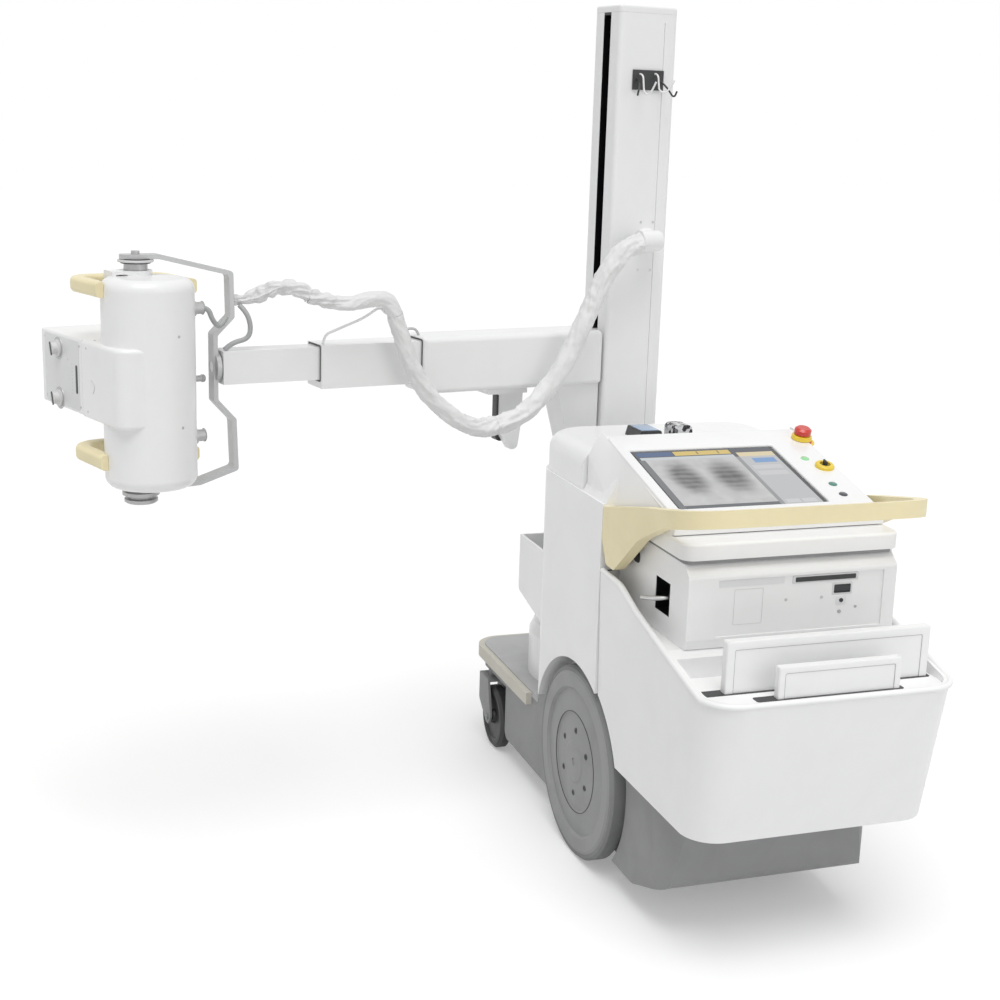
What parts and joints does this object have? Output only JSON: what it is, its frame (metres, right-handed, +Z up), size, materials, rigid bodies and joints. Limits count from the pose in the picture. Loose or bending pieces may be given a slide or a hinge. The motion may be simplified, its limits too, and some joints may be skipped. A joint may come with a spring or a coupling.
{
  "type": "portable x-ray machine",
  "caption": "Motor driven ward x-ray machine with a swivelling column, a telescopic arm and a tube head in a yoke, with a rear bin, console and push bar.",
  "frame": {"origin": "on the floor, midway between the two drive wheels, under their shaft", "axes": "+X the machine's right, +Y forward, away from the push bar, +Z up"},
  "size_m": [1.6715, 1.5024, 1.93],
  "materials": {
    "arm_white": "powder coat, fine satin",
    "base_grey": "satin paint",
    "cover_white": "satin moulded cover",
    "cream": "satin moulding",
    "dark_plastic": "moulded",
    "deck_grey": "moulded mat",
    "head_white": "painted casting, satin",
    "key_yellow": "moulded ring",
    "pale_grey": "moulded",
    "screen_glass": "display glass",
    "sleeve": "gathered sleeve",
    "steel": "turned and brushed",
    "stop_red": "moulded",
    "strip_beige": "soft strip",
    "tyre_rubber": "smooth rubber",
    "wheel_grey": "moulded disc",
    "yoke_grey": "satin paint"
  },
  "bodies": {
    "chassis": {"base": "base_grey", "battery_block": "dark_plastic", "drive_axle": "steel", "deck": "deck_grey", "bumper": "strip_beige", "body_cover": "cover_white", "shoulder_cap": "cover_white", "column_foot": "cover_white", "storage_box": "pale_grey", "rear_bin": "cover_white", "bin_insert": "pale_grey", "detector_large": "cover_white", "detector_small": "cover_white", "drawer_unit": "cover_white", "latch_lever": "steel", "lid": "cover_white", "console": "cover_white", "screen": "screen_glass", "key_ring": "key_yellow", "stop_button": "stop_red", "remote": "dark_plastic", "clear_holder": "pale_grey", "handle": "cream", "switch_holder": "cover_white", "hand_switch": "cover_white"},
    "wheel_left": {"drive_wheel_left": "wheel_grey", "drive_tyre_left": "tyre_rubber"},
    "wheel_right": {"drive_wheel_right": "wheel_grey", "drive_tyre_right": "tyre_rubber"},
    "caster_left": {"caster_fork_left": "base_grey"},
    "caster_wheel_left": {"caster_hub_left": "steel", "caster_tyre_left": "tyre_rubber"},
    "caster_right": {"caster_fork_right": "base_grey"},
    "caster_wheel_right": {"caster_hub_right": "steel", "caster_tyre_right": "tyre_rubber"},
    "column": {"turret": "base_grey", "column": "arm_white", "column_cap": "arm_white", "cable_port": "arm_white", "cable_hooks": "dark_plastic", "cable_upper": "sleeve"},
    "carriage": {"carriage": "arm_white", "arm_outer": "arm_white", "park_bracket": "arm_white", "park_roller": "dark_plastic", "cable_loop": "sleeve"},
    "arm_middle": {"arm_middle": "arm_white", "cable_hanger": "arm_white", "cable_middle": "sleeve"},
    "arm_inner": {"arm_inner": "arm_white", "cable_end": "sleeve"},
    "yoke": {"yoke": "yoke_grey", "yoke_pins": "yoke_grey"},
    "tube_head": {"tube_housing": "head_white", "head_handles": "cream", "cable_glands": "yoke_grey"},
    "collimator": {"collimator": "head_white", "collimator_knobs": "pale_grey"}
  },
  "joints": [
    {"name": "wheel_left_spin", "type": "hinge", "parent": "chassis", "child": "wheel_left", "pos_m": [-0.247, 0, 0.225], "axis": [1, 0, 0], "continuous": true},
    {"name": "wheel_right_spin", "type": "hinge", "parent": "chassis", "child": "wheel_right", "pos_m": [0.247, 0, 0.225], "axis": [1, 0, 0], "continuous": true},
    {"name": "caster_left_swivel", "type": "hinge", "parent": "chassis", "child": "caster_left", "pos_m": [-0.232, 0.7, 0.19], "axis": [0, 0, 1], "continuous": true},
    {"name": "caster_left_spin", "type": "hinge", "parent": "caster_left", "child": "caster_wheel_left", "pos_m": [-0.232, 0.658, 0.085], "axis": [1, 0, 0], "continuous": true},
    {"name": "caster_right_swivel", "type": "hinge", "parent": "chassis", "child": "caster_right", "pos_m": [0.232, 0.7, 0.19], "axis": [0, 0, 1], "continuous": true},
    {"name": "caster_right_spin", "type": "hinge", "parent": "caster_right", "child": "caster_wheel_right", "pos_m": [0.232, 0.658, 0.085], "axis": [1, 0, 0], "continuous": true},
    {"name": "column_swivel", "type": "hinge", "parent": "chassis", "child": "column", "pos_m": [0, 0.469, 0.43], "axis": [0, 0, -1], "range_deg": [-5, 205]},
    {"name": "column_lift", "type": "slide", "parent": "column", "child": "carriage", "axis": [0, 0, 1], "range_m": [-0.215, 0.74], "deforming": ["cable_upper", "cable_loop"]},
    {"name": "arm_middle_slide", "type": "slide", "parent": "carriage", "child": "arm_middle", "axis": [-0.9845, -0.1754, 0], "range_m": [-0.225, 0.1], "deforming": ["cable_middle"]},
    {"name": "arm_inner_slide", "type": "slide", "parent": "arm_middle", "child": "arm_inner", "axis": [-0.9845, -0.1754, 0], "range_m": [-0.2, 0.1], "deforming": ["cable_end"]},
    {"name": "yoke_roll", "type": "hinge", "parent": "arm_inner", "child": "yoke", "pos_m": [-1.0357, 0.28451, 1.118], "axis": [-0.9845, -0.1754, 0], "range_deg": [-90, 180]},
    {"name": "head_pivot", "type": "hinge", "parent": "yoke", "child": "tube_head", "pos_m": [-1.20897, 0.25365, 1.1], "axis": [0, 0, 1], "range_deg": [-20.9, 183.1]},
    {"name": "collimator_turn", "type": "hinge", "parent": "tube_head", "child": "collimator", "pos_m": [-1.2272, 0.3066, 1.1], "axis": [-0.3256, 0.9455, 0], "range_deg": [-90, 90]}
  ]
}
